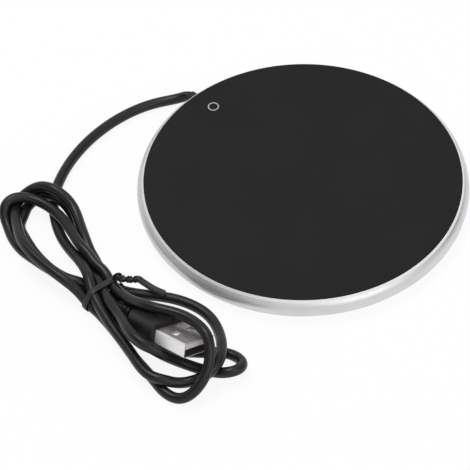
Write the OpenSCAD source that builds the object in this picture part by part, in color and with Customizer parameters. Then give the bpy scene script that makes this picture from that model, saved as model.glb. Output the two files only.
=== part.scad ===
// Electric mug warmer: a thin round hot plate in an aluminium rim, run from a USB-A plug.
// Origin: centre of the resting plane under the feet. +Z is up, and the cord leaves along +Y.

/* [Rim] */
// Diameter over the aluminium rim
disc_d = 100; // [90:1:130]
// Height of the rim, whose outer edge is a half round of this height
rim_h = 6.8; // [6.4:0.1:9]
// Distance from the rim's outer edge in to the top plate's edge
plate_inset = 2.15; // [1.8:0.05:2.6]
// Height of the top plate above the crown of the rim
plate_proud = 0.3; // [0.1:0.05:0.6]
// Width of the bright chamfered lip round the top plate
lip_w = 0.5; // [0.3:0.05:0.7]
// Width of the flange inside the rim that carries the top plate
flange_w = 3.7; // [3.4:0.1:6]
// Thickness of that flange
flange_t = 1.8; // [1.4:0.1:2.2]

/* [Hot plate stack] */
// Thickness of the top plate
plate_t = 1.5; // [1.2:0.1:1.7]
// Thickness of the adhesive gasket under the top plate
gasket_t = 0.2; // [0.1:0.05:0.4]
// Thickness of the aluminium heat spreader
spreader_t = 0.6; // [0.4:0.1:0.8]
// Thickness of the printed heating film
film_t = 0.2; // [0.1:0.05:0.3]
// Thickness of the insulation pad
pad_t = 0.8; // [0.6:0.1:0.9]

/* [Touch mark] */
// Outer diameter of the ring mark over the touch sensor
mark_d = 3.5; // [3:0.1:6]
// Line width of the ring mark
mark_line = 0.4; // [0.3:0.05:0.8]
// Distance of the ring mark from the disc's centre line
mark_y = 40.5; // [39:0.1:40.8]

/* [Underside] */
// Thickness of the bottom cover
cover_t = 1.4; // [1.2:0.1:1.8]
// Diameter of a rubber foot
foot_d = 11; // [8:0.5:14]
// Height of the feet below the cover
foot_h = 0.8; // [0.5:0.1:2]
// Depth of the pocket that a foot sits in
foot_pocket = 0.5; // [0.3:0.1:0.8]
// Radius of the circle that the feet lie on
foot_ring_r = 34; // [24:1:34]
// Number of feet
foot_n = 4; // [3:1:5]
// Number of screws in the bottom cover
screw_n = 4; // [3:1:6]

/* [Cord and grommet] */
// Diameter of the cord
cord_d = 3.2; // [2.8:0.1:3.5]
// Outer diameter of the grommet's sleeve
sleeve_d = 4.4; // [4:0.1:4.6]
// How far the sleeve stands out of the rim
sleeve_out = 1.5; // [1:0.1:1.7]

/* [USB plug] */
// Width of the metal shell
shell_w = 12; // [11.9:0.05:12.1]
// Height of the metal shell
shell_h = 4.5; // [4.4:0.05:4.6]
// Length of the shell outside the overmould
shell_out = 11.6; // [11:0.1:12.5]
// Wall of the folded sheet
shell_wall = 0.3; // [0.25:0.05:0.4]
// Width of the overmould at its front
mould_w = 15; // [14.4:0.1:15.6]
// Height of the overmould at its front
mould_h = 7.4; // [6.8:0.1:7.8]
// Length of the overmould's body
mould_l = 13; // [12:0.5:14]
// Length of the moulded strain relief behind the body
relief_l = 6; // [5:0.5:8]

/* [Hidden] */
$fn = 96;
eps = 0.01;
// running clearance between pieces that are not bonded
gap = 0.1;

// heights of the stack, from the table up
rim_z0 = foot_h;
rim_z1 = rim_z0 + rim_h;
mid_z = rim_z0 + rim_h / 2;
plate_z1 = rim_z1 + plate_proud;
plate_z0 = plate_z1 - plate_t;
flange_z1 = plate_z0 - gasket_t;
flange_z0 = flange_z1 - flange_t;
spreader_z0 = plate_z0 - spreader_t;
film_z0 = spreader_z0 - film_t;
pad_z0 = film_z0 - pad_t;
cover_z1 = rim_z0 + cover_t;

// radii of the rim's section
disc_r = disc_d / 2;
nose_r = rim_h / 2;
nose_c = disc_r - nose_r;
plate_r = disc_r - plate_inset;
seat_r = plate_r + gap;
lip_r = seat_r + lip_w;
lip_drop = 0.1;
wall_r = nose_c - 0.4;
flange_r = wall_r - flange_w;
// height of the half round where the chamfered lip meets it
lip_z = mid_z + sqrt(nose_r * nose_r - (lip_r - nose_c) * (lip_r - nose_c));

// heated parts: discs with a flat on the side of the touch sensor
heater_r = flange_r - 1;
flat_y = mark_y - 5;

// control board
board_t = 0.8;
board_z0 = cover_z1 + 0.4;
board_z1 = board_z0 + board_t;
board_r = flange_r - 0.3;
board_w = 40;
board_y0 = 20;
post_d = 4;
board_hole = 1.6;
board_screw_at = [[-15, 24], [15, 24]];

// screws of the bottom cover
screw_ring_r = (wall_r + flange_r) / 2;
screw_d = 2;
screw_head_d = 3.4;
screw_head_h = 0.8;
screw_tip_z = flange_z1 - 0.4;
skirt_r1 = wall_r - gap;
skirt_r0 = flange_r + 0.2;
notch_w = 8;

// touch spring round the indicator
spring_d = 3.5;
spring_wire = 0.35;
spring_turns = 3;

// USB plug: it points along -Y in its own frame, then turns, pitches and rolls in the hank
plug_at = [-69, -18.5, 8.8];
plug_roll = 25;
plug_pitch = -12;
plug_heading = 7;
shell_in = 4;
shell_corner = 0.6;
hole_w = 2.4;
hole_l = 2;
hole_x = 2.85;
hole_y = 6.5;
tongue_h = 1.9;
contact_x = [-3.5, -1, 1, 3.5];

// route of the cord from the grommet to the hank, along its centre line
cord_r = cord_d / 2;
exit_y = disc_r + sleeve_out;
// height of the exit: the sleeve passes just under the top plate
exit_z = flange_z1 - gap - sleeve_d / 2;
LEAD = [[0, exit_y, exit_z], [-0.2, exit_y + 1.4, exit_z - 0.1], [-1.8, exit_y + 3.5, 3.4],
    [-5, 57.4, 2.7], [-10, 59.5, 2], [-16.5, 61, cord_r], [-24.5, 61.5, cord_r],
    [-34, 60.4, cord_r], [-41.5, 58.3, cord_r], [-47, 56, cord_r], [-54, 51.8, cord_r]];

// hank: two loops that meet in a waist, held by the tie
HANK_EDGE = [[-64, 8.7], [-60.5, 25], [-54.5, 37], [-51.6, 46.5], [-53, 54], [-58.5, 58.5],
    [-66, 61], [-73, 57], [-79, 48], [-80.5, 36], [-78.5, 20], [-77.2, 8.7], [-79.5, -6],
    [-82.5, -22], [-82.5, -32], [-78, -37], [-70, -36.5], [-62, -38.8], [-56, -37.6],
    [-54.2, -33], [-54, -26], [-51.5, -18], [-53, -9], [-58.5, -0.5]];
HANK_EYE = [[-68.5, 26], [-65.5, 34], [-64, 42], [-65, 48], [-69, 47], [-71.2, 41], [-71.4, 32]];
waist_x = -71;
waist_y = 8.7;
waist_w = 13.2;
waist_h = 6.1;
tie_t = 0.5;
tie_w = 1.5;

function lerp(a, b, t) = a + (b - a) * t;
function unit(v) = v / norm(v);

// Catmull-Rom point between b and c, for a curve that passes through every given point
function spline_point(a, b, c, d, t) =
    0.5 * (2 * b + (c - a) * t + (2 * a - 5 * b + 4 * c - d) * t * t
    + (3 * b - a - 3 * c + d) * t * t * t);
function spline(p, steps) = let (n = len(p)) concat(
    [for (i = [0:n - 2], k = [0:steps - 1]) spline_point(
        p[max(i - 1, 0)], p[i], p[i + 1], p[min(i + 2, n - 1)], k / steps)],
    [p[n - 1]]);
function closed_spline(p, steps) = let (n = len(p)) [for (i = [0:n - 1], k = [0:steps - 1])
    spline_point(p[(i + n - 1) % n], p[i], p[(i + 1) % n], p[(i + 2) % n], k / steps)];

// tube swept along a list of points, with a frame that keeps one side up
module tube(path, r, sides, first_dir = undef) {
    n = len(path);
    tangent = [for (i = [0:n - 1]) i == 0 && first_dir != undef ? first_dir
        : unit(path[min(i + 1, n - 1)] - path[max(i - 1, 0)])];
    ring = [for (i = [0:n - 1])
        let (side = unit(cross(tangent[i], [0, 0, 1])), up = cross(side, tangent[i]))
        for (k = [0:sides - 1])
            path[i] + r * (cos(360 * k / sides) * side + sin(360 * k / sides) * up)];
    walls = [for (i = [0:n - 2], k = [0:sides - 1])
        let (a = i * sides + k, b = i * sides + (k + 1) % sides)
        [a, a + sides, b + sides, b]];
    polyhedron(ring, concat(walls, [[for (k = [0:sides - 1]) k]],
        [[for (k = [sides - 1:-1:0]) (n - 1) * sides + k]]), convexity = 6);
}

// straight round bar from one point to another
module rod(from, to, d) {
    v = to - from;
    translate(from) rotate([0, acos(v[2] / norm(v)), atan2(v[1], v[0])])
        cylinder(d = d, h = norm(v), $fn = 24);
}

// flat strip from one point to another, lying level across its width
module strip(from, to, width, thickness) {
    v = to - from;
    translate(from) rotate([0, acos(v[2] / norm(v)), atan2(v[1], v[0])])
        translate([-thickness / 2, -width / 2, 0]) cube([thickness, width, norm(v)]);
}

module ring_of(count, radius, turn = 0) {
    for (i = [0:count - 1])
        rotate([0, 0, turn + i * 360 / count]) translate([radius, 0, 0]) children();
}

module rounded_rect(size, r) {
    x = size[0] / 2 - r;
    y = size[1] / 2 - r;
    union() {
        square([size[0], size[1] - 2 * r], center = true);
        square([size[0] - 2 * r, size[1]], center = true);
        for (sx = [-1, 1], sy = [-1, 1]) translate([sx * x, sy * y]) circle(r, $fn = 32);
    }
}

// disc with a flat, the outline of everything that is heated
module heater_outline(r) {
    difference() {
        circle(r);
        translate([0, flat_y + disc_r]) square(disc_d, center = true);
    }
}

// half round that forms the rim's outer edge
module rim_nose() {
    rotate_extrude($fn = 180) intersection() {
        translate([nose_c, mid_z]) circle(nose_r);
        translate([nose_c, rim_z0]) square([nose_r, rim_h]);
    }
}

// wall behind the nose, flange for the plate, and lip whose chamfer runs into the nose
module rim_web() {
    lip_top = [seat_r, plate_z1 - lip_drop];
    rotate_extrude($fn = 180) polygon([[wall_r, rim_z0], [nose_c + 1, rim_z0 + 1],
        [nose_c + 1, flange_z0], [lip_r, flange_z1], lerp(lip_top, [lip_r, lip_z], 1.2), lip_top,
        [seat_r, flange_z1], [flange_r, flange_z1], [flange_r, flange_z0], [wall_r, flange_z0]]);
}

module rim_ring() {
    color("silver") difference() {
        union() {
            rim_nose();
            rim_web();
        }
        // seat of the top plate
        translate([0, 0, flange_z1]) cylinder(r = seat_r, h = rim_h, $fn = 180);
        // bore for the grommet, and the gap in the flange for the cord
        translate([0, flange_r - 1, exit_z]) rotate([-90, 0, 0])
            cylinder(d = sleeve_d, h = disc_r);
        translate([-notch_w / 2, 0, flange_z0 - eps])
            cube([notch_w, wall_r, flange_t + 2 * eps]);
        // threaded holes for the cover's screws
        ring_of(screw_n, screw_ring_r, 45)
            translate([0, 0, flange_z0 - eps]) cylinder(d = screw_d, h = screw_tip_z - flange_z0);
    }
}

module mark_outline(grow = 0) {
    difference() {
        circle(d = mark_d + 2 * grow, $fn = 64);
        circle(d = mark_d - 2 * mark_line - 2 * grow, $fn = 64);
    }
}

module top_plate() {
    edge = 0.15;
    inlay = 0.3;
    color("#262626") difference() {
        rotate_extrude($fn = 180) polygon([[0, plate_z0], [plate_r, plate_z0],
            [plate_r, plate_z1 - edge], [plate_r - edge, plate_z1], [0, plate_z1]]);
        translate([0, mark_y, plate_z1 - inlay]) linear_extrude(1) mark_outline();
    }
}

module touch_mark() {
    inlay = 0.3;
    color("#bfc3c4") translate([0, mark_y, plate_z1 - inlay])
        linear_extrude(inlay) mark_outline();
}

module plate_gasket() {
    color("#3a3a3c") translate([0, 0, flange_z1]) linear_extrude(gasket_t) difference() {
        circle(plate_r - 0.4);
        circle(flange_r + 0.1);
    }
}

module heat_spreader() {
    color("#c9ccd0") translate([0, 0, spreader_z0]) linear_extrude(spreader_t)
        heater_outline(heater_r);
}

module heating_film() {
    color("#b5651d") translate([0, 0, film_z0]) linear_extrude(film_t) {
        heater_outline(heater_r - 1);
        // tab that the heater's leads are soldered to
        translate([0, flat_y]) square([20, 2.4], center = true);
    }
}

module insulation_pad() {
    color("#e8e2cf") translate([0, 0, pad_z0]) linear_extrude(pad_t) difference() {
        heater_outline(heater_r - 0.5);
        circle(d = 6);
        translate([14, 0]) rounded_rect([16, 3.4], 1.2);
    }
}

sensor_d = 1.6;
sensor_z = film_z0 - sensor_d / 2;
module temperature_sensor() {
    color("#2f4f2f") translate([0, -1.5, sensor_z]) rotate([-90, 0, 0])
        cylinder(d = sensor_d, h = 3, $fn = 32);
}

module sensor_leads() {
    lead_d = 0.5;
    color("#d8d8d8") for (side = [-1, 1])
        tube([[side * 0.4, 1.5, sensor_z], [side * 0.5, 2, sensor_z - 0.1],
            [side * 0.6, 3, pad_z0 - 0.4], [side * 1.3, board_y0 + 1.5, board_z1 + lead_d / 2]],
            lead_d / 2, 6, [0, 1, 0]);
}

fuse_d = 1.8;
fuse_z = film_z0 - fuse_d / 2;
module thermal_fuse() {
    color("#d9c27a") translate([14, 0, fuse_z]) rotate([0, 90, 0]) {
        translate([0, 0, -3]) cylinder(d = fuse_d, h = 6, $fn = 32);
        translate([0, 0, -6.5]) cylinder(d = 0.5, h = 13, $fn = 24);
    }
}

module heater_leads() {
    lead_d = 0.9;
    color("#b03030") for (side = [-1, 1]) {
        rod([side * 8, flat_y + 0.7, film_z0 - lead_d / 2], [side * 8, flat_y + 3,
            board_z1 + lead_d / 2], lead_d);
    }
}

module board_outline() {
    intersection() {
        circle(board_r);
        translate([-board_w / 2, board_y0]) square([board_w, board_r]);
    }
}

module control_board() {
    color("#1f5c35") translate([0, 0, board_z0]) linear_extrude(board_t) difference() {
        board_outline();
        for (at = board_screw_at) translate(at) circle(d = board_hole, $fn = 32);
    }
}

module package(at, size) {
    translate([at[0] - size[0] / 2, at[1] - size[1] / 2, board_z1]) cube(size);
}

module control_chip() {
    color("#1a1a1a") package([-8, 29], [4, 4, 0.75]);
}

module board_components() {
    color("#8a7a60") {
        package([8, 29.5], [3.3, 3.3, 0.75]);
        package([0, 25], [2.2, 1.4, 0.6]);
        package([4, 33.2], [1.6, 0.8, 0.5]);
        package([-3, 33.2], [1.6, 0.8, 0.5]);
        for (i = [0:3]) package([-15 + 2.2 * i, 33.6], [1, 1.6, 0.45]);
        for (i = [0:2]) package([11.5 + 2.2 * i, 33.6], [1, 1.6, 0.45]);
    }
}

module indicator_led() {
    color("#f2efe2") package([0, mark_y], [1.6, 0.8, 0.7]);
}

// helix that stands on the board and presses up against the plate's underside
module touch_spring() {
    r = (spring_d - spring_wire) / 2;
    low = board_z1 + spring_wire / 2;
    high = plate_z0 - spring_wire / 2;
    steps = 16;
    path = [for (i = [0:spring_turns * steps])
        let (t = i / (spring_turns * steps), a = 360 * i / steps)
        [r * cos(a), mark_y + r * sin(a), lerp(low, high, t)]];
    color("#d4d4d6") tube(path, spring_wire / 2, 6);
}

module board_screws() {
    color("#9a9a9a") for (at = board_screw_at) translate([at[0], at[1], 0]) {
        translate([0, 0, board_z1]) cylinder(d = 2.8, h = 0.7, $fn = 32);
        translate([0, 0, cover_z1 - 0.5]) cylinder(d = board_hole, h = board_z1 - cover_z1 + 0.5,
            $fn = 32);
    }
}

module bottom_cover() {
    color("#202021") difference() {
        union() {
            translate([0, 0, rim_z0]) cylinder(r = skirt_r1, h = cover_t);
            // skirt that reaches up to the rim's flange
            translate([0, 0, cover_z1 - eps]) linear_extrude(flange_z0 - cover_z1 + eps) difference() {
                circle(skirt_r1);
                circle(skirt_r0);
            }
            for (at = board_screw_at) translate([at[0], at[1], cover_z1 - eps])
                cylinder(d = post_d, h = board_z0 - cover_z1 + eps, $fn = 32);
        }
        // room for the grommet and the cord's conductors
        translate([-notch_w / 2, flange_r - 1, min(cover_z1, exit_z - sleeve_d / 2 - gap)])
            cube([notch_w, skirt_r1, rim_h]);
        ring_of(foot_n, foot_ring_r, 45) translate([0, 0, rim_z0 - eps])
            cylinder(d = foot_d + 2 * gap, h = foot_pocket + eps);
        ring_of(screw_n, screw_ring_r, 45) {
            translate([0, 0, rim_z0 - eps]) cylinder(d = screw_d + 0.2, h = rim_h);
            translate([0, 0, rim_z0 - eps])
                cylinder(d1 = screw_head_d, d2 = screw_d + 0.2, h = screw_head_h);
        }
        for (at = board_screw_at) translate([at[0], at[1], cover_z1 - 0.5])
            cylinder(d = board_hole, h = rim_h, $fn = 32);
    }
}

module cover_screws() {
    slot_w = 0.5;
    slot_l = 1.9;
    color("#b8b8ba") ring_of(screw_n, screw_ring_r, 45) difference() {
        union() {
            translate([0, 0, rim_z0]) cylinder(d1 = screw_head_d - 0.1, d2 = screw_d,
                h = screw_head_h);
            translate([0, 0, rim_z0 + eps]) cylinder(d = screw_d, h = screw_tip_z - rim_z0 - 0.3);
        }
        for (turn = [0, 90]) rotate([0, 0, turn]) translate([0, 0, rim_z0])
            cube([slot_l, slot_w, 0.8], center = true);
    }
}

module rubber_feet() {
    edge = 0.4;
    r = foot_d / 2;
    top = rim_z0 + foot_pocket;
    color("#2b2b2b") ring_of(foot_n, foot_ring_r, 45) rotate_extrude($fn = 64)
        polygon([[0, 0], [r - edge, 0], [r, edge], [r, top], [0, top]]);
}

// moulded on the cord: a collar inside the rim's wall and a tapered sleeve through it
grommet_y0 = wall_r - 1.4;
module cord_grommet() {
    collar_d = 6.4;
    tip_d = sleeve_d - 0.5;
    color("#2a2a2b") {
        intersection() {
            translate([0, grommet_y0, exit_z]) rotate([-90, 0, 0])
                cylinder(d = collar_d, h = wall_r - grommet_y0 - gap);
            translate([-collar_d / 2, 0, cover_z1 + gap])
                cube([collar_d, disc_r, flange_z1 - cover_z1 - 2 * gap]);
        }
        translate([0, grommet_y0, exit_z]) rotate([-90, 0, 0])
            cylinder(d = sleeve_d - gap, h = disc_r - grommet_y0);
        translate([0, disc_r - eps, exit_z]) rotate([-90, 0, 0])
            cylinder(d1 = sleeve_d - gap, d2 = tip_d, h = sleeve_out + eps);
    }
}

// two conductors from the grommet, past the touch spring and down to the board
module power_leads() {
    lead_d = 1;
    on_board = board_z1 + lead_d / 2;
    over_board = max(exit_z, on_board + gap);
    for (side = [-1, 1]) color(side < 0 ? "#a02020" : "#1c1c1c")
        tube([[side * 0.8, grommet_y0, exit_z], [side * 1.2, grommet_y0 - 0.7, over_board],
            [side * 2.6, grommet_y0 - 1.9, over_board], [side * 6, flat_y + 3.5, on_board]],
            lead_d / 2, 8, [0, -1, 0]);
}

lead_path = spline(LEAD, 4);
module cord_lead() {
    color("#2d2d2e") tube(lead_path, cord_r, 8, [0, 1, 0]);
}

// wound part of the cord: its outline, with a groove for the tie and room for what lies in it
module cord_hank() {
    height = tie_t + waist_h;
    color("#2d2d2e") difference() {
        linear_extrude(height) difference() {
            polygon(closed_spline(HANK_EDGE, 4));
            polygon(closed_spline(HANK_EYE, 4));
        }
        placed_plug() plug_clearance();
        lead_clearance();
        translate([waist_x, waist_y, tie_t + waist_h / 2]) rotate([90, 0, 0])
            linear_extrude(tie_w + 2 * gap, center = true) difference() {
                square(3 * waist_w, center = true);
                rounded_rect([waist_w, waist_h], 1.5);
            }
        // ledge that the tie's tail lies over
        translate([waist_x + waist_w / 2 - 1, waist_y - 20, cord_d + 0.4]) cube([20, 20, height]);
    }
}

// room beside the lead, ending in the face that the lead meets
module lead_clearance() {
    n = len(lead_path);
    v = lead_path[n - 1] - lead_path[n - 2];
    width = cord_d + 1;
    translate(lead_path[n - 1]) rotate([0, 0, atan2(v[1], v[0])])
        translate([-20, -width / 2, -cord_d]) cube([20, width, 20]);
}

// band round the waist, whose ends are twisted together and laid along the lower loop
module twist_tie() {
    knot = [-65.2, waist_y, tie_t + waist_h + 1.1];
    fork = [-60.4, 6.3, 5.6];
    bend = [-58.3, 0, 4.6];
    tip = [-57, -6.6, 4.6];
    tail_w = 1.9;
    tail_t = 0.6;
    color("#333334") {
        translate([waist_x, waist_y, tie_t + waist_h / 2]) rotate([90, 0, 0])
            linear_extrude(tie_w, center = true) difference() {
                rounded_rect([waist_w + 2 * tie_t, waist_h + 2 * tie_t], 2);
                rounded_rect([waist_w, waist_h], 1.5);
            }
        translate(knot) rotate([90, 0, 0])
            cylinder(d = 2.1, h = tie_w + 0.9, center = true, $fn = 24);
        rod(knot, fork, 1.3);
        translate(fork) cylinder(d = tail_w - 0.2, h = 1.5, center = true, $fn = 24);
        strip(fork, bend, tail_w, tail_t);
        translate(bend) cylinder(d = tail_w - 0.1, h = tail_t - 0.05, center = true, $fn = 24);
        strip(bend, tip, tail_w, tail_t);
    }
}

module placed_plug() {
    translate(plug_at) rotate([0, 0, plug_heading]) rotate([plug_pitch, 0, 0])
        rotate([0, plug_roll, 0]) children();
}

module plug_clearance() {
    room = 0.3;
    translate([-mould_w / 2 - room, -shell_out - 8, -mould_h / 2 - room])
        cube([mould_w + 2 * room, shell_out + 8 + mould_l + relief_l, 40]);
}

// grip that narrows towards the cord, with a ribbed strain relief
module usb_overmould() {
    neck = mould_l - 2.6;
    neck_size = [mould_w - 2, mould_h - 0.4];
    ribs = 3;
    rib_step = (relief_l - 1) / ribs;
    color("#2a2a2b") placed_plug() difference() {
        union() {
            hull() {
                mould_slice(0, 0.3, [mould_w - 0.6, mould_h - 0.6], 0.9);
                mould_slice(0.3, 0.3, [mould_w, mould_h], 1.1);
                mould_slice(neck, 0.3, neck_size, 1.4);
            }
            hull() {
                mould_slice(neck, 0.3, neck_size, 1.4);
                mould_slice(mould_l - 0.3, 0.3, [6.4, 5.6], 2.6);
            }
            translate([0, mould_l - eps, 0]) rotate([-90, 0, 0])
                cylinder(d1 = 5.2, d2 = cord_d + 0.8, h = relief_l);
        }
        shell_block(-shell_in, 0);
        for (i = [1:ribs]) translate([0, mould_l + i * rib_step - 0.5, 0]) rotate([-90, 0, 0])
            difference() {
                cylinder(d = mould_w, h = 0.7);
                cylinder(d = cord_d + 0.6, h = 0.7);
            }
    }
}

module mould_slice(y, t, size, r) {
    translate([0, y + t, 0]) rotate([90, 0, 0]) linear_extrude(t) rounded_rect(size, r);
}

module shell_block(from, to) {
    translate([0, -from, 0]) rotate([90, 0, 0]) linear_extrude(to - from)
        rounded_rect([shell_w, shell_h], shell_corner);
}

module usb_shell() {
    color("#b9b4b6") placed_plug() difference() {
        shell_block(-shell_in, shell_out);
        translate([0, shell_in + 1, 0]) rotate([90, 0, 0]) linear_extrude(shell_in + shell_out + 2)
            rounded_rect([shell_w - 2 * shell_wall, shell_h - 2 * shell_wall], 0.3);
        for (sx = [-1, 1]) translate([sx * hole_x, hole_y - shell_out, 0])
            cube([hole_w, hole_l, shell_h + 1], center = true);
    }
}

tongue_gap = 0.12;
tongue_z0 = -shell_h / 2 + shell_wall + tongue_gap;
module usb_insulator() {
    width = shell_w - 2 * shell_wall - 2 * tongue_gap;
    color("#1d1b1c") placed_plug() {
        translate([-width / 2 + 0.1, -shell_out + 0.6, tongue_z0])
            cube([width - 0.2, shell_out + shell_in - 0.6, tongue_h]);
        // block that closes the back of the shell
        translate([-width / 2 + 0.1, 0, tongue_z0])
            cube([width - 0.2, shell_in, shell_h - 2 * shell_wall - 2 * tongue_gap]);
    }
}

module usb_contacts() {
    color("#c9a24a") placed_plug() for (x = contact_x)
        translate([x - 0.5, -shell_out + 1.6, tongue_z0 + tongue_h]) cube([1, 7.5, 0.15]);
}

rim_ring();
top_plate();
touch_mark();
plate_gasket();
heat_spreader();
heating_film();
insulation_pad();
temperature_sensor();
sensor_leads();
thermal_fuse();
heater_leads();
control_board();
control_chip();
board_components();
indicator_led();
touch_spring();
board_screws();
bottom_cover();
cover_screws();
rubber_feet();
cord_grommet();
power_leads();
cord_lead();
cord_hank();
twist_tie();
usb_overmould();
usb_shell();
usb_insulator();
usb_contacts();
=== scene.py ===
import math

import bmesh
import bpy
import numpy as np
from mathutils import Matrix, Vector


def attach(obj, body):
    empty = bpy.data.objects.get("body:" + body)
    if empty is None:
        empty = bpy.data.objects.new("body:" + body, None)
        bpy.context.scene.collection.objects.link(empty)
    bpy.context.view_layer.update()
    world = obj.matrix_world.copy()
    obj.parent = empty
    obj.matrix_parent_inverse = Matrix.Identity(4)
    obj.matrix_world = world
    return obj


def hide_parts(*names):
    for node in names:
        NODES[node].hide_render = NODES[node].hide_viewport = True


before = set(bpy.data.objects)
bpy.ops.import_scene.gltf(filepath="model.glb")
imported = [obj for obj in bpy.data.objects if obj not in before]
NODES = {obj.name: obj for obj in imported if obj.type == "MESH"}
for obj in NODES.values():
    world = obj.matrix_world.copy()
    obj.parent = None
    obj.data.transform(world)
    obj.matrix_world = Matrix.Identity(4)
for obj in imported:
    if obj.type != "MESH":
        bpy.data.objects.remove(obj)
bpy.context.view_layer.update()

# a millimetre in metres: shapes are given in mm, unless a comment says metres
MM = 0.001
SCENE = bpy.context.scene


def added(name, data):
    """New object in the scene for a mesh, a camera or a lamp."""
    obj = bpy.data.objects.new(name, data)
    SCENE.collection.objects.link(obj)
    return obj


def added_mesh(name, bm):
    """New object in the scene for a mesh that is being built, which ends here."""
    mesh = bpy.data.meshes.new(name)
    bm.to_mesh(mesh)
    bm.free()
    return added(name, mesh)


# ---------------------------------------------------------------- camera

# place and target in metres, roll in degrees and lens in mm
CAMERA_AT = (-0.3873, -0.4257, 0.6394)
CAMERA_TARGET = (-0.02571, 0.0021, 0.0)
CAMERA_ROLL = 2.13
CAMERA_LENS = 217.8


def make_camera():
    """The one camera, which looks at its target with a long lens, rolled a little."""
    data = bpy.data.cameras.new("camera")
    data.sensor_width = 36.0
    data.lens = CAMERA_LENS
    data.clip_start = 0.01
    data.clip_end = 10.0
    camera = added("camera", data)
    aim = Vector(CAMERA_TARGET) - Vector(CAMERA_AT)
    turn = aim.to_track_quat("-Z", "Y").to_matrix()
    roll = Matrix.Rotation(-math.radians(CAMERA_ROLL), 3, "Z")
    camera.matrix_world = Matrix.Translation(CAMERA_AT) @ (turn @ roll).to_4x4()
    SCENE.camera = camera


# ---------------------------------------------------------------- cord

CORD_D = 3.2
CORD_R = CORD_D / 2
EXIT = (0.0, 51.5, 3.9)
# the lead bends down from its sleeve and then lies on the table as far as the hank
LEAD = [EXIT, (-0.3, 52.5, 3.6), (-1.2, 53.6, 3), (-2.6, 54.8, 2.4), (-4.6, 56.3, 2),
        (-7.4, 58, 1.7), (-10.4, 59.3, 1.6), (-16.6, 60.8, 1.6), (-24.5, 61.4, 1.6),
        (-34, 60.4, 1.6), (-41.5, 58.3, 1.6), (-47, 56, 1.6), (-54, 51.8, 1.6)]
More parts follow.
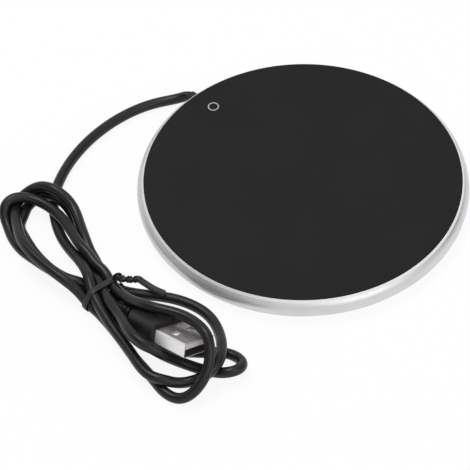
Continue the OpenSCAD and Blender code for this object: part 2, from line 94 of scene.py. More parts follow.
# the hank's folds one after the other. The cord's centre line starts on these points, and then
# settles, so that the strands lie on and beside each other.
HANK = [
    # from the lead down to the tie
    (-55.9, 50.4, 1.6), (-58.7, 47.5, 1.6), (-61.3, 43.4, 1.6), (-64.2, 38.2, 1.6),
    (-65.2, 35.4, 1.6), (-66, 32.5, 1.8), (-66.9, 29.1, 2.4), (-67.5, 25.4, 3.2), (-67.8, 22.2, 4),
    (-69.3, 19, 4.4), (-71, 15, 4.8), (-74.6, 8.7, 4.96),
    # along the left edge and round the lower end
    (-76.1, 3.5, 4.8), (-76.9, 0.8, 4.7), (-77.7, -2.6, 4.5), (-78.4, -6.1, 4.4), (-79, -9.5, 4.4),
    (-80.2, -15, 4.6), (-81.3, -19.7, 4.6), (-81.5, -23.9, 4.4), (-80.4, -26.3, 3.4),
    (-78, -28.2, 2.2), (-75.8, -30, 1.8), (-73.6, -31.9, 2.4), (-71.3, -33.7, 3.8),
    # up the right edge to the tie
    (-69.5, -35.3, 5.4), (-66.9, -35.4, 6), (-63.8, -34, 5.8), (-60.5, -31.1, 4.8),
    (-57.7, -27.8, 3.4), (-55.4, -24.2, 2.3), (-53.7, -20.6, 1.6), (-53, -17.2, 1.6),
    (-53.3, -13.1, 1.6), (-54.4, -9.4, 1.6), (-55.9, -5.8, 1.6), (-57.9, -2.9, 1.6),
    (-60.2, 0.4, 1.6), (-62, 2.3, 1.6), (-63, 3.8, 1.6), (-64.1, 5.4, 1.7), (-65.2, 6.9, 1.9),
    (-66.2, 8.7, 2.1),
    # round the upper end
    (-66, 14, 2), (-65, 19, 2.4), (-64.2, 24.5, 3.2), (-62.4, 27.3, 4), (-61.5, 29.2, 4.6),
    (-60.3, 31.8, 4.8), (-59, 34.6, 4.8), (-57.9, 36.9, 5), (-57.1, 39, 5.4), (-56.6, 40.9, 5.9),
    (-56.7, 42.6, 6.6), (-56.8, 44.6, 7.1), (-57.4, 46, 7.3), (-57.9, 48.4, 7.1),
    (-58.4, 50.4, 6.4), (-59.6, 53.2, 4.6), (-61, 54.9, 3),
    # down the left side, over the others, to the tie
    (-63.2, 55.8, 1.8), (-66.4, 54.6, 1.6), (-69.1, 52, 2.2), (-71.5, 48.5, 3.6),
    (-73.3, 46.1, 4.4), (-74.5, 43.9, 4.8), (-75.6, 41.2, 5), (-76.5, 38.4, 5.2),
    (-77.1, 35.5, 5.6), (-77.6, 32.4, 6.1), (-78.1, 29.1, 6.6), (-78.2, 26, 7), (-78.2, 23.4, 7),
    (-77.7, 21, 6.8), (-77.2, 18.5, 6.2), (-76.6, 16, 5.2), (-76.1, 13.9, 4.3), (-75.8, 11.8, 3.3),
    (-76.2, 8.7, 2.1),
    # along the outer left edge
    (-75, 6.5, 1.7), (-75.9, 2.9, 1.6), (-76.8, -2.8, 1.6), (-77.8, -8.1, 1.6),
    (-79.1, -14.3, 1.6), (-79.8, -20.9, 1.6), (-80.3, -26.3, 1.6), (-80.4, -28.9, 1.6),
    (-80.5, -32.1, 1.8), (-79.7, -35, 2.2),
    # high over the plug and back to the tie
    (-77.4, -36, 3), (-74.8, -36.5, 4.4), (-72.3, -36.6, 6.4), (-70.2, -36.2, 8.4),
    (-68.1, -34.7, 10), (-66.4, -33.1, 11.6), (-65, -30.8, 12.9), (-64.1, -27.6, 13.4),
    (-63.5, -23.3, 13), (-64.2, -19.1, 12.8), (-65.9, -15.4, 12.8), (-67.4, -12.8, 12.6),
    (-68.9, -9.5, 12.1), (-69.4, -4.5, 10), (-69.3, 1.4, 7.4), (-67.8, 8.7, 4.96),
    # up the middle and over the upper end
    (-67.8, 11.1, 5), (-67.6, 13.7, 5.1), (-67.4, 16.5, 5.2), (-67, 19.2, 5.4), (-65.5, 23.5, 5.6),
    (-64.2, 29, 5.6), (-62.9, 34.5, 5.4), (-61.8, 40.5, 5.2), (-61.9, 43.8, 5.1), (-62.2, 47.2, 5),
    (-63.2, 50.4, 5), (-64.5, 52.9, 4.9),
    # down the outer left side to the tie
    (-66.1, 54.4, 4.8), (-68, 55, 3.9), (-70.1, 54.3, 3), (-71.3, 53.1, 2.1), (-73.2, 51.1, 1.6),
    (-74.2, 49.1, 1.6), (-74.9, 46.7, 1.6), (-75.3, 44.5, 1.6), (-75.5, 42.3, 1.6),
    (-76.2, 39.2, 1.6), (-76.2, 36.9, 1.6), (-76.2, 34.5, 1.6), (-76.4, 31.8, 1.6),
    (-75.7, 28.1, 1.6), (-74.7, 23.8, 1.6), (-73.9, 18.8, 1.7), (-73.3, 13.6, 1.9),
    (-72.9, 8.7, 2.1),
    # under the plug
    (-72.8, 3, 1.7), (-74, -4.9, 1.6), (-74.2, -12.3, 1.6), (-71, -18.5, 1.6), (-65.2, -24, 1.6),
    (-63.5, -26.8, 1.6),
    # the small loop beside the hank
    (-60.1, -28.7, 1.6), (-58.5, -31, 1.6), (-57.5, -33.7, 1.6), (-57.9, -36.5, 2.2),
    (-59.8, -38.5, 3.4), (-62.6, -39.1, 4.5), (-65.2, -37.3, 4.5), (-66.6, -33.9, 3),
    # up past the left side of the plug to the tie
    (-68, -30.7, 2), (-69.6, -27.8, 2.4), (-71.4, -25.5, 3.6), (-73.4, -24, 5.4),
    (-75, -22.9, 7.2), (-76.4, -21.7, 9), (-77.5, -20.1, 10.4), (-78.2, -17.2, 10.8),
    (-78.4, -13.9, 10.6), (-77.3, -10.1, 10), (-76, -6.4, 8.9), (-74.9, -3.1, 7.6),
    (-72.6, 3, 5.6), (-71.3, 8.7, 4.96),
    # up again, under the fold that first went round the upper end
    (-70.2, 13.5, 4.4), (-68.4, 18.4, 3.6), (-66.2, 23, 2.6), (-59, 33.4, 1.6),
    (-58.3, 36, 1.6), (-57.9, 38.2, 1.6), (-57.1, 40.4, 1.7), (-56.5, 43, 2.4),
    (-56.6, 44.8, 3.4), (-57.9, 46.6, 4.4),
    # round the inside of the upper end and down
    (-58.4, 47.7, 4.8), (-59.5, 50.1, 4.4), (-61, 52.4, 2.8), (-64.3, 53, 1.6), (-66.6, 52.4, 1.6),
    (-68.9, 51.4, 1.6), (-70.7, 49.3, 1.6), (-72, 46.9, 1.6), (-73.3, 44.4, 2), (-74.9, 41.1, 2.7),
    (-76, 37.3, 3.5), (-76.4, 34, 4), (-76.6, 30.8, 4.3), (-76.8, 27.9, 4.5), (-76.7, 25.2, 4.6),
    (-76.4, 22.6, 4.7), (-76, 19.9, 4.7), (-75.3, 17.3, 4.5), (-74.1, 15.1, 3.9), (-72.3, 12.7, 3),
    (-69.6, 8.7, 2.1),
    # up to the plug
    (-69.9, 5.4, 2.9), (-70.6, 2.4, 4)]

# the plug's own frame: it points along -Y, then rolls, pitches and turns
PLUG_AT = (-69.0, -18.5, 8.8)
PLUG_TURN = (Matrix.Rotation(math.radians(7), 3, "Z") @ Matrix.Rotation(math.radians(-12), 3, "X")
             @ Matrix.Rotation(math.radians(25), 3, "Y"))
# place along the plug's own Y where the cord goes into the strain relief, and the straight run
# before it
RELIEF_END = 18.5
RUN_IN = 3


def in_plug(*point):
    """A point of the plug's own frame, in mm, as a point of the row frame in mm."""
    return Vector(PLUG_AT) + PLUG_TURN @ Vector(point)


# samples of a curve between two of its given points, from which its even steps are taken
SPAN_SAMPLES = 24


def smooth_curve(points, step):
    """Points about a step apart on a centripetal Catmull-Rom curve through the given ones."""
    p = np.array(points, float)
    p = np.vstack([2 * p[0] - p[1], p, 2 * p[-1] - p[-2]])
    out = []
    for a, b, c, d in zip(p[:-3], p[1:-2], p[2:-1], p[3:]):
        t1 = np.linalg.norm(b - a) ** 0.5
        t2 = t1 + np.linalg.norm(c - b) ** 0.5
        t3 = t2 + np.linalg.norm(d - c) ** 0.5
        for t in np.linspace(t1, t2, SPAN_SAMPLES, endpoint=False):
            ab = (t1 - t) / t1 * a + t / t1 * b
            bc = (t2 - t) / (t2 - t1) * b + (t - t1) / (t2 - t1) * c
            cd = (t3 - t) / (t3 - t2) * c + (t - t2) / (t3 - t2) * d
            abc = (t2 - t) / t2 * ab + t / t2 * bc
            bcd = (t3 - t) / (t3 - t1) * bc + (t - t1) / (t3 - t1) * cd
            out.append((t2 - t) / (t2 - t1) * abc + (t - t1) / (t2 - t1) * bcd)
    out.append(p[-2])
    out = np.array(out)
    along = np.concatenate([[0], np.cumsum(np.linalg.norm(np.diff(out, axis=0), axis=1))])
    places = np.linspace(0, along[-1], int(round(along[-1] / step)) + 1)
    return np.stack([np.interp(places, along, out[:, k]) for k in range(3)], 1)


# the plug's half width and half height at places along its own Y, for the cord to stay out of.
# The first place is the mouth of its shell, and the last the end of its strain relief.
PLUG_Y = [-11.6, -0.01, 0, 10, 13, 13.01, 19]
PLUG_HALF_W = [6, 6, 7.5, 6.5, 3.2, 2.6, 2.0]
PLUG_HALF_H = [2.25, 2.25, 3.7, 3.5, 2.8, 2.6, 2.0]


def push_from_plug(x):
    """How far each of the points x has to move, so that the cord round it is clear of the plug."""
    turn = np.array(PLUG_TURN)
    local = (x - np.array(PLUG_AT)) @ turn
    half = np.stack([np.interp(local[:, 1], PLUG_Y, PLUG_HALF_W),
                     np.full(len(x), -PLUG_Y[0]),
                     np.interp(local[:, 1], PLUG_Y, PLUG_HALF_H)], 1)
    push = np.zeros_like(local)
    for i in np.where((local[:, 1] > PLUG_Y[0] - CORD_R) & (local[:, 1] < PLUG_Y[-1]))[0]:
        beyond = np.array([abs(local[i, 0]) - half[i, 0], PLUG_Y[0] - local[i, 1],
                           abs(local[i, 2]) - half[i, 2]])
        outside = np.maximum(beyond, 0)
        far = np.linalg.norm(outside) + min(beyond.max(), 0)
        if far >= CORD_R:
            continue
        if beyond.max() > 0:
            way = outside / np.linalg.norm(outside)
        else:
            way = np.zeros(3)
            way[np.argmax(beyond)] = 1
        sign = np.array([math.copysign(1, local[i, 0]), -1, math.copysign(1, local[i, 2])])
        push[i] = way * sign * (CORD_R - far)
    return push @ turn.T


# how the cord settles. Lengths are in mm, and shares are of the whole in one round.
SETTLE_STEP = 1.6
SETTLE_ROUNDS = 400
# share of a point's way back to its chosen place, across the view and along it
PULL_ACROSS = 0.02
PULL_ALONG = 0.002
# share of a change of bend that is taken out
STIFFNESS = 0.3
# share of a stretch that is taken out at each of its ends, and how often in a round
STRETCH = 0.25
STRETCH_PASSES = 2
# points fewer than this many steps apart don't push each other, and others keep this far apart
NEIGHBOURS = 5
APART = CORD_D + 0.08
# first and last points that stay where they are, and last points that the plug doesn't push
HELD_FIRST = 4
HELD_LAST = 6
INTO_PLUG = 13


def change_of_bend(x):
    """How far the bow at each point is from the mean of its two neighbours' bows."""
    bow = np.zeros_like(x)
    bow[1:-1] = (x[:-2] + x[2:]) / 2 - x[1:-1]
    change = np.zeros_like(x)
    change[2:-2] = (bow[1:-3] + bow[3:-1]) / 2 - bow[2:-2]
    return change


def take_out_stretch(x, free, length):
    """Moves the points x that are free, so that the links between them go back to their length."""
    link = np.diff(x, axis=0)
    far = np.linalg.norm(link, axis=1)
    mend = link / far[:, None] * (far - length)[:, None] * STRETCH
    x[:-1] += free[:-1] * mend
    x[1:] -= free[1:] * mend


def push_apart(x, first, second):
    """How far each of the points x has to move to be clear of the other strands. first and second
    are the numbers of the points in each pair that may touch."""
    near = (np.abs(x[first] - x[second]) < APART).all(1)
    a, b = first[near], second[near]
    gap = x[b] - x[a]
    far = np.linalg.norm(gap, axis=1)
    hit = far < APART
    a, b, gap, far = a[hit], b[hit], gap[hit], far[hit]
    shift = gap / far[:, None] * ((APART - far) / 2)[:, None]
    push = np.zeros_like(x)
    count = np.zeros((len(x), 1))
    np.add.at(push, a, -shift)
    np.add.at(push, b, shift)
    np.add.at(count, a, 1)
    np.add.at(count, b, 1)
    return push / np.maximum(count, 1)


def settle(start):
    """Lets the cord's strands, the plug and the floor push each other apart, while the cord's
    stiffness keeps it smooth and its length stays. Seen from the camera it keeps its route."""
    # x holds a point of the cord in each row, and free is 1 for those that move
    x = start.copy()
    n = len(x)
    free = np.ones((n, 1))
    free[:HELD_FIRST] = 0
    free[n - HELD_LAST:] = 0
    length = np.linalg.norm(np.diff(start, axis=0), axis=1)
    first, second = np.triu_indices(n, NEIGHBOURS)
    sight = np.array(Vector(CAMERA_AT) - Vector(CAMERA_TARGET))
    sight = sight / np.linalg.norm(sight)
    for _ in range(SETTLE_ROUNDS):
        back = start - x
        along = (back @ sight)[:, None] * sight
        x = x + free * (PULL_ACROSS * (back - along) + PULL_ALONG * along)
        x = x - free * STIFFNESS * change_of_bend(x)
        for _ in range(STRETCH_PASSES):
            take_out_stretch(x, free, length)
        x = x + free * push_apart(x, first, second)
        off_plug = push_from_plug(x)
        off_plug[-INTO_PLUG:] = 0
        x = x + free * off_plug
        x[:, 2] = np.where(free[:, 0] > 0, np.maximum(x[:, 2], CORD_R), x[:, 2])
    return x


def swept(name, path, section):
    """Closed mesh swept along a path in mm. section(i) gives ring i's points across the path, as
    pairs (side, up) in mm. The first ring's side is level, and the others turn only as the path
    bends. The UV map holds the way along the path in mm, and the share of the way round."""
    path = [Vector(p) for p in path]
    n = len(path)
    bm = bmesh.new()
    uv = bm.loops.layers.uv.new("UVMap")
    rings = []
    along = 0.0
    places = []
    for i in range(n):
        t = (path[min(i + 1, n - 1)] - path[max(i - 1, 0)]).normalized()
        if i:
            along += (path[i] - path[i - 1]).length
            side = (side - t * side.dot(t)).normalized()
        else:
            side = t.cross(Vector((0, 0, 1)))
            side = side.normalized() if side.length > 1e-6 else Vector((1, 0, 0))
        up = side.cross(t)
        places.append(along)
        rings.append([bm.verts.new((path[i] + side * a + up * b) * MM) for a, b in section(i)])
    m = len(rings[0])
    for i in range(n - 1):
        for k in range(m):
            face = bm.faces.new((rings[i][k], rings[i][(k + 1) % m],
                                 rings[i + 1][(k + 1) % m], rings[i + 1][k]))
            face.smooth = True
            corners = ((i, k), (i, k + 1), (i + 1, k + 1), (i + 1, k))
            for loop, (row, column) in zip(face.loops, corners):
                loop[uv].uv = (places[row], column / m)
    bm.faces.new(list(reversed(rings[0])))
    bm.faces.new(rings[-1])
    bmesh.ops.recalc_face_normals(bm, faces=bm.faces)
    return added_mesh(name, bm)


def circle(r, sides):
    """Ring of points that starts at the bottom, where a seam shows least."""
    turns = [2 * math.pi * k / sides - math.pi / 2 for k in range(sides)]
    return [(r * math.cos(t), r * math.sin(t)) for t in turns]


# distance between the rings of the cord's mesh, and points in each ring
CORD_STEP = 0.8
CORD_SIDES = 24


def make_cord():
    """The whole cord as one tube, with the path that it follows and its length, both in metres."""
    into = [tuple(in_plug(0, RELIEF_END + RUN_IN, 0)), tuple(in_plug(0, RELIEF_END, 0))]
    line = settle(smooth_curve(LEAD + HANK + into, SETTLE_STEP))
    fine = smooth_curve(line, CORD_STEP)
    ring = circle(CORD_R, CORD_SIDES)
    cord = swept("cord", fine, lambda i: ring)
    cord.data.materials.append(cord_jacket())
    path = [tuple(p * MM) for p in fine]
    length = sum((Vector(b) - Vector(a)).length for a, b in zip(path, path[1:]))
    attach(cord, "root")
    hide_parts("cord_lead", "cord_hank")
    return cord, path, length


# ---------------------------------------------------------------- twist tie

# the tie is a flat ribbon with a wire in it, round the waist of the hank at this place along Y
TIE_Y = 9.1
TIE_W = 1.9
TIE_HALF_T = 0.12
TIE_WIRE_R = 0.19
# the waist's strands lie on the lower side of this x, and the band goes round them where they
# are at its middle and near its two edges
WAIST_END_X = -60
UNDER_BAND = (-0.8, 0, 0.8)
# gap from a strand to the middle of the band's thickness, and the least from there to the floor
BAND_GAP = 0.12
BAND_LOWEST = 0.2
# the two ends stand up from the band in a knob, run on twisted together, and end flat
TWIST = [(-66.6, 8.9, 5.8), (-66.3, 8.7, 7), (-66, 8.5, 7.9), (-65.6, 8.2, 7.9), (-65.4, 8, 7.1),
         (-64.5, 7.1, 6.6), (-63.2, 6.1, 6.2), (-62.2, 5.4, 6), (-61.4, 4.9, 5.9)]
TAIL = [(-61.9, 5.3, 5.9), (-61.1, 4.5, 6), (-60.8, 3.6, 5.6), (-60.4, 2.4, 5.2), (-60, 0.8, 4.9),
        (-59.5, -0.8, 4.6), (-58.8, -2.3, 4.3), (-58.2, -3.6, 4.1)]
# turn of the twisted ribbons at the knob and how much they turn from there, in radians, and the
# distance of each from the middle of the twist
TWIST_START = 0.6
TWIST_TURN = 9
TWIST_SHIFT = 0.5
# lean and height of the two flat ends, which lie on each other
TAIL_LEAN = (-0.45, -0.15)
TAIL_SHIFT = (0.24, -0.24)


def ribbon(half_w, half_t, core):
    """Section of the tie: a flat ribbon with a wire's ridge along its middle."""
    upper = [(half_w, half_t * 0.4), (half_w * 0.95, half_t), (core * 1.5, half_t),
             (core * 0.8, core * 0.85), (0, core), (-core * 0.8, core * 0.85),
             (-core * 1.5, half_t), (-half_w * 0.95, half_t), (-half_w, half_t * 0.4)]
    return upper + [(-a, -b) for a, b in upper]


def turned(points, angle, shift):
    """The points of a section, moved up by shift and then turned by an angle in radians."""
    c, s = math.cos(angle), math.sin(angle)
    return [(a * c - (b + shift) * s, a * s + (b + shift) * c) for a, b in points]


def hull(points):
    """Corners of the convex outline of flat points, one after the other."""
    points = sorted(points)
    sides = []
    for order in (points, points[::-1]):
        side = []
        for p in order:
            while len(side) > 1:
                (ax, ay), (bx, by) = side[-2], side[-1]
                if (bx - ax) * (p[1] - ay) - (by - ay) * (p[0] - ax) > 0:
                    break
                side.pop()
            side.append(p)
        sides.append(side[:-1])
    return sides[0] + sides[1]


def band_path(path):
    """The band's middle line: the outline of the cord's strands where they pass under it."""
    across = []
    for a, b in zip(path, path[1:]):
        a, b = Vector(a) / MM, Vector(b) / MM
        for y in [TIE_Y + shift for shift in UNDER_BAND]:
            if a.x < WAIST_END_X and (a.y - y) * (b.y - y) <= 0:
                at = a.lerp(b, (y - a.y) / (b.y - a.y))
                lean = abs((b - a).normalized().y)
                around = circle(CORD_R + BAND_GAP, sides=40)
                across += [(at.x + x / lean, at.z + z) for x, z in around]
    loop = hull(across)
    first = max(range(len(loop)), key=lambda i: loop[i][0] + loop[i][1])
    loop = loop[first:] + loop[:first + 1]
    return smooth_curve([(x, TIE_Y, max(z, BAND_LOWEST)) for x, z in loop], step=0.5)


def joined(name, parts):
    """One object from several, which are removed."""
    bm = bmesh.new()
    for part in parts:
        bm.from_mesh(part.data)
        bpy.data.objects.remove(part)
    return added_mesh(name, bm)


def make_tie(path):
    """Band round the waist, and its two ends, which are twisted together round a core."""
    flat = ribbon(TIE_W / 2, TIE_HALF_T, TIE_WIRE_R)
    parts = [swept("tie_band", band_path(path), lambda i: flat)]
    twist = smooth_curve(TWIST, step=0.15)
    core = circle(TWIST_SHIFT, sides=10)
    parts.append(swept("tie_core", twist, lambda i: core))
    turns = [TWIST_START + TWIST_TURN * (i / len(twist)) ** 2 for i in range(len(twist))]
    for part in (0, 1):
        parts.append(swept(f"tie_twist_{part}", twist, lambda i, part=part: turned(
            flat, turns[i] + math.pi * part, TWIST_SHIFT)))
        # the second end is cut a little shorter
        tail = smooth_curve(TAIL[:len(TAIL) - part], step=0.3)
        parts.append(swept(f"tie_tail_{part}", tail, lambda i, part=part: turned(
            flat, TAIL_LEAN[part], TAIL_SHIFT[part])))
    tie = joined("tie", parts)
    tie.data.materials.append(tie_plastic())
    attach(tie, "root")
    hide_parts("twist_tie")
    return tie


# ---------------------------------------------------------------- plug


def turned_over(name, node):
    """A part from inside the plug as it lies here: mirrored across the plug's middle plane."""
    mesh = NODES[node].data.copy()
    mesh.name = name
    place = Matrix.Translation(Vector(PLUG_AT) * MM) @ PLUG_TURN.to_4x4()
    over = place @ Matrix.Diagonal((1, 1, -1, 1)) @ place.inverted()
    mesh.transform(over @ NODES[node].matrix_world)
    mesh.flip_normals()
    obj = added(name, mesh)
    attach(obj, "root")
    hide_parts(node)
    return obj


# ---------------------------------------------------------------- materials


def material(name):
    """New material, with its nodes, its links and its shader."""
    m = bpy.data.materials.new(name)
    m.use_nodes = True
    return m, m.node_tree.nodes, m.node_tree.links, m.node_tree.nodes["Principled BSDF"]


def along_axes(size, unit=MM):
    """A size along each axis, from three sizes or from one for all of them."""
    sizes = size if isinstance(size, tuple) else (size,) * 3
    return [value * unit for value in sizes]


def noise(nodes, links, place, size, turn=(0, 0, 0), detail=4.0):
    """Noise whose grains have the given size along each axis, in the place vector's own units."""
    space = nodes.new("ShaderNodeMapping")
    space.vector_type = "TEXTURE"
    space.inputs["Rotation"].default_value = turn
    space.inputs["Scale"].default_value = size
    links.new(place, space.inputs["Vector"])
    texture = nodes.new("ShaderNodeTexNoise")
    texture.inputs["Scale"].default_value = 1.0
    texture.inputs["Detail"].default_value = detail
    links.new(space.outputs["Vector"], texture.inputs["Vector"])
    return texture.outputs["Fac"]


def ramp(nodes, links, value, low, high, start=0.35, end=0.65):
    """Colour that goes from low to high as the value goes from start to end."""
    node = nodes.new("ShaderNodeValToRGB")
    first, last = node.color_ramp.elements
    first.position, last.position = start, end
    first.color, last.color = (*low, 1), (*high, 1)
    links.new(value, node.inputs["Fac"])
    return node.outputs["Color"]


def between(nodes, links, value, low, high, start=0.35, end=0.65):
    """Number that goes from low to high as the value goes from start to end."""
    node = nodes.new("ShaderNodeMapRange")
    for name, number in (("From Min", start), ("From Max", end), ("To Min", low), ("To Max", high)):
        node.inputs[name].default_value = number
    links.new(value, node.inputs["Value"])
    return node.outputs["Result"]


def feed(links, socket, value):
    """Gives a socket its value, which is either an output of a node or fixed."""
    if isinstance(value, bpy.types.NodeSocket):
        links.new(value, socket)
    else:
        socket.default_value = value


def combined(nodes, links, operation, first, second):
    """Result of a math node on two values."""
    node = nodes.new("ShaderNodeMath")
    node.operation = operation
    feed(links, node.inputs[0], first)
    feed(links, node.inputs[1], second)
    return node.outputs["Value"]


# numbers of a mix node's two inputs and its output, for each kind of value
MIX_SOCKETS = {"FLOAT": (2, 3, 0), "RGBA": (6, 7, 2)}


def mixed(nodes, links, share, first, second, kind="FLOAT"):
    """The first value where the share is 0, and the second where it is 1."""
    node = nodes.new("ShaderNodeMix")
    node.data_type = kind
    links.new(share, node.inputs["Factor"])
    first_number, second_number, output = MIX_SOCKETS[kind]
    feed(links, node.inputs[first_number], first)
    feed(links, node.inputs[second_number], second)
    return node.outputs[output]


def bumped(nodes, links, height, strength, depth, under=None):
    """Normal with a height in relief, which is depth mm deep, over another relief if given."""
    node = nodes.new("ShaderNodeBump")
    node.inputs["Strength"].default_value = strength
    node.inputs["Distance"].default_value = depth * MM
    links.new(height, node.inputs["Height"])
    if under is not None:
        links.new(under, node.inputs["Normal"])
    return node.outputs["Normal"]


def coated(name, low, high, rough, clouds, grain, depth, metal=0.0, specular=0.5, turn=(0, 0, 0),
           place="Object"):
    """Surface with soft clouds of colour and a fine grain, which varies the gloss and stands in
    relief. low and high are the darkest and lightest colour, rough the range of roughness,
    clouds and grain their sizes in mm, and depth the relief in mm. On a UV map the sizes are in
    mm along the piece, and in shares of the way round it."""
    m, nodes, links, shader = material(name)
    at = nodes.new("ShaderNodeTexCoord").outputs[place]
    unit = 1 if place == "UV" else MM
    broad = noise(nodes, links, at, along_axes(clouds, unit), turn)
    fine = noise(nodes, links, at, along_axes(grain, unit), turn, detail=2.0)
    links.new(ramp(nodes, links, broad, low, high), shader.inputs["Base Color"])
    links.new(between(nodes, links, fine, *rough), shader.inputs["Roughness"])
    relief = bumped(nodes, links, broad, 0.2, depth)
    links.new(bumped(nodes, links, fine, 0.5, depth, relief), shader.inputs["Normal"])
    shader.inputs["Metallic"].default_value = metal
    shader.inputs["Specular IOR Level"].default_value = specular
    return m


def plate_coating():
    """Satin black coating of the top plate."""
    return coated("plate_coating", low=(0.0055, 0.0055, 0.0058), high=(0.0075, 0.0075, 0.0078),
                  rough=(0.5, 0.66), clouds=14, grain=0.22, depth=0.006, specular=0.2)


# distances in metres from the disc's centre line, between which the lip's cut, with its painted
# highlight, meets the rim's blasted face
LIP_EDGE = (0.04842, 0.0485)


def blasted_rim():
    """Fine blasted aluminium, and on its inner edge the chamfered lip, whose colour is a painted
    highlight: brighter and more diffuse than the rest, for the light that its polished cut catches."""
    m, nodes, links, shader = material("blasted_aluminium_painted_lip_highlight")
    at = nodes.new("ShaderNodeTexCoord").outputs["Object"]
    clouds = noise(nodes, links, at, along_axes((9, 9, 3)))
    grain = noise(nodes, links, at, along_axes(0.12), detail=2.0)
    # distance from the disc's centre line, which tells the lip and its painted highlight from the
    # rest
    flat = nodes.new("ShaderNodeVectorMath")
    flat.operation = "MULTIPLY"
    flat.inputs[1].default_value = (1, 1, 0)
    links.new(at, flat.inputs[0])
    radius = nodes.new("ShaderNodeVectorMath")
    radius.operation = "LENGTH"
    links.new(flat.outputs["Vector"], radius.inputs[0])
    lip = between(nodes, links, radius.outputs["Value"], 1, 0, *LIP_EDGE)
    colour = ramp(nodes, links, clouds, (0.68, 0.68, 0.683), (0.73, 0.73, 0.733))
    rough = between(nodes, links, grain, 0.36, 0.46)
    # painted highlight: the lip gets a near-white, more diffuse colour, for the light on its
    # polished cut
    links.new(mixed(nodes, links, lip, colour, (0.94, 0.94, 0.94, 1), "RGBA"),
              shader.inputs["Base Color"])
    links.new(mixed(nodes, links, lip, rough, 0.45), shader.inputs["Roughness"])
    links.new(mixed(nodes, links, lip, 0.75, 0.2), shader.inputs["Metallic"])
    links.new(bumped(nodes, links, grain, 0.35, 0.006), shader.inputs["Normal"])
    return m


def cord_jacket():
    """PVC jacket: the wires inside show as faint long ridges, and its gloss comes in streaks."""
    m, nodes, links, shader = material("cord_jacket")
    coords = nodes.new("ShaderNodeTexCoord")
    along = coords.outputs["UV"]
    streaks = noise(nodes, links, along, (14, 0.09, 1), detail=3.0)
    ridges = noise(nodes, links, along, (40, 0.2, 1), detail=1.0)
    grain = noise(nodes, links, coords.outputs["Object"], along_axes(0.25), detail=2.0)
    links.new(ramp(nodes, links, streaks, (0.0085, 0.0085, 0.0088), (0.0155, 0.0155, 0.016)),
              shader.inputs["Base Color"])
    links.new(between(nodes, links, streaks, 0.42, 0.27), shader.inputs["Roughness"])
    relief = bumped(nodes, links, ridges, 0.5, 0.12)
    links.new(bumped(nodes, links, grain, 0.3, 0.02, relief), shader.inputs["Normal"])
    shader.inputs["Specular IOR Level"].default_value = 0.32
    return m


def tie_plastic():
    """Black plastic with fine lines along the ribbon."""
    return coated("tie_plastic", low=(0.009, 0.009, 0.0093), high=(0.016, 0.016, 0.0165),
                  rough=(0.42, 0.58), clouds=(1.6, 0.04, 1), grain=(0.3, 0.02, 1), depth=0.02,
                  place="UV")


# half the width and half the height inside the shell's walls, in mm, which bound the shell's
# painted shade inside
SHELL_INSIDE = (5.85, 2.1)


def painted_shade_within_shell(nodes, links, at, turn):
    """1 for the places inside the plug's shell, from their distance to its middle planes: the
    places that get painted shade.
    """
    local = nodes.new("ShaderNodeMapping")
    local.vector_type = "TEXTURE"
    local.inputs["Location"].default_value = Vector(PLUG_AT) * MM
    local.inputs["Rotation"].default_value = turn
    local.inputs["Scale"].default_value = (SHELL_INSIDE[0] * MM, 1, SHELL_INSIDE[1] * MM)
    links.new(at, local.inputs["Vector"])
    size = nodes.new("ShaderNodeVectorMath")
    size.operation = "ABSOLUTE"
    links.new(local.outputs["Vector"], size.inputs[0])
    axes = nodes.new("ShaderNodeSeparateXYZ")
    links.new(size.outputs["Vector"], axes.inputs["Vector"])
    larger = combined(nodes, links, "MAXIMUM", axes.outputs["X"], axes.outputs["Z"])
    return combined(nodes, links, "LESS_THAN", larger, 1.0)


def nickel():
    """Plated steel, brushed along the plug, with painted light and shade in its colour. The two
    broad faces are all metal and painted darker, as painted shade; the narrow ones are half diffuse
    and painted near white, as painted light; and the inside is painted dark, as painted shade."""
    turn = PLUG_TURN.to_euler()
    m, nodes, links, shader = material("brushed_nickel_painted_light_and_shade")
    coords = nodes.new("ShaderNodeTexCoord")
    at = coords.outputs["Object"]
    clouds = noise(nodes, links, at, along_axes((2.5, 5, 2.5)), turn)
    brush = noise(nodes, links, at, along_axes((0.1, 3, 0.1)), turn, detail=3.0)
    marks = noise(nodes, links, at, along_axes((0.5, 0.9, 0.5)), turn, detail=1.0)
    # the surface's direction in the plug's own frame tells the broad faces from the narrow ones,
    # for their painted shade and painted light, and for their roughness and metal
    facing = nodes.new("ShaderNodeMapping")
    facing.vector_type = "TEXTURE"
    facing.inputs["Rotation"].default_value = turn
    links.new(coords.outputs["Normal"], facing.inputs["Vector"])
    axes = nodes.new("ShaderNodeSeparateXYZ")
    links.new(facing.outputs["Vector"], axes.inputs["Vector"])
    upright = nodes.new("ShaderNodeMath")
    upright.operation = "ABSOLUTE"
    links.new(axes.outputs["Z"], upright.inputs[0])
    broad = between(nodes, links, upright.outputs["Value"], 0, 1, 0.75, 0.95)
    # painted light and shade: the broad faces get a darker colour as painted shade, and the narrow
    # faces a near-white colour as painted light
    broad_face_painted_shade = ramp(nodes, links, clouds, (0.4, 0.355, 0.365), (0.55, 0.5, 0.51))
    outside = mixed(nodes, links, broad, (0.97, 0.96, 0.965, 1), broad_face_painted_shade, "RGBA")
    # painted shade: inside the shell the colour is dark, for the shade in the plug's mouth
    inside = painted_shade_within_shell(nodes, links, at, turn)
    links.new(mixed(nodes, links, inside, outside, (0.3, 0.23, 0.24, 1), "RGBA"),
              shader.inputs["Base Color"])
    narrow_rough = between(nodes, links, brush, 0.42, 0.54)
    broad_rough = between(nodes, links, brush, 0.38, 0.56)
    links.new(mixed(nodes, links, broad, narrow_rough, broad_rough), shader.inputs["Roughness"])
    relief = bumped(nodes, links, marks, 0.12, 0.02)
    links.new(bumped(nodes, links, brush, 0.4, 0.012, relief), shader.inputs["Normal"])
    links.new(between(nodes, links, broad, 0.5, 1.0, 0.0, 1.0), shader.inputs["Metallic"])
    return m


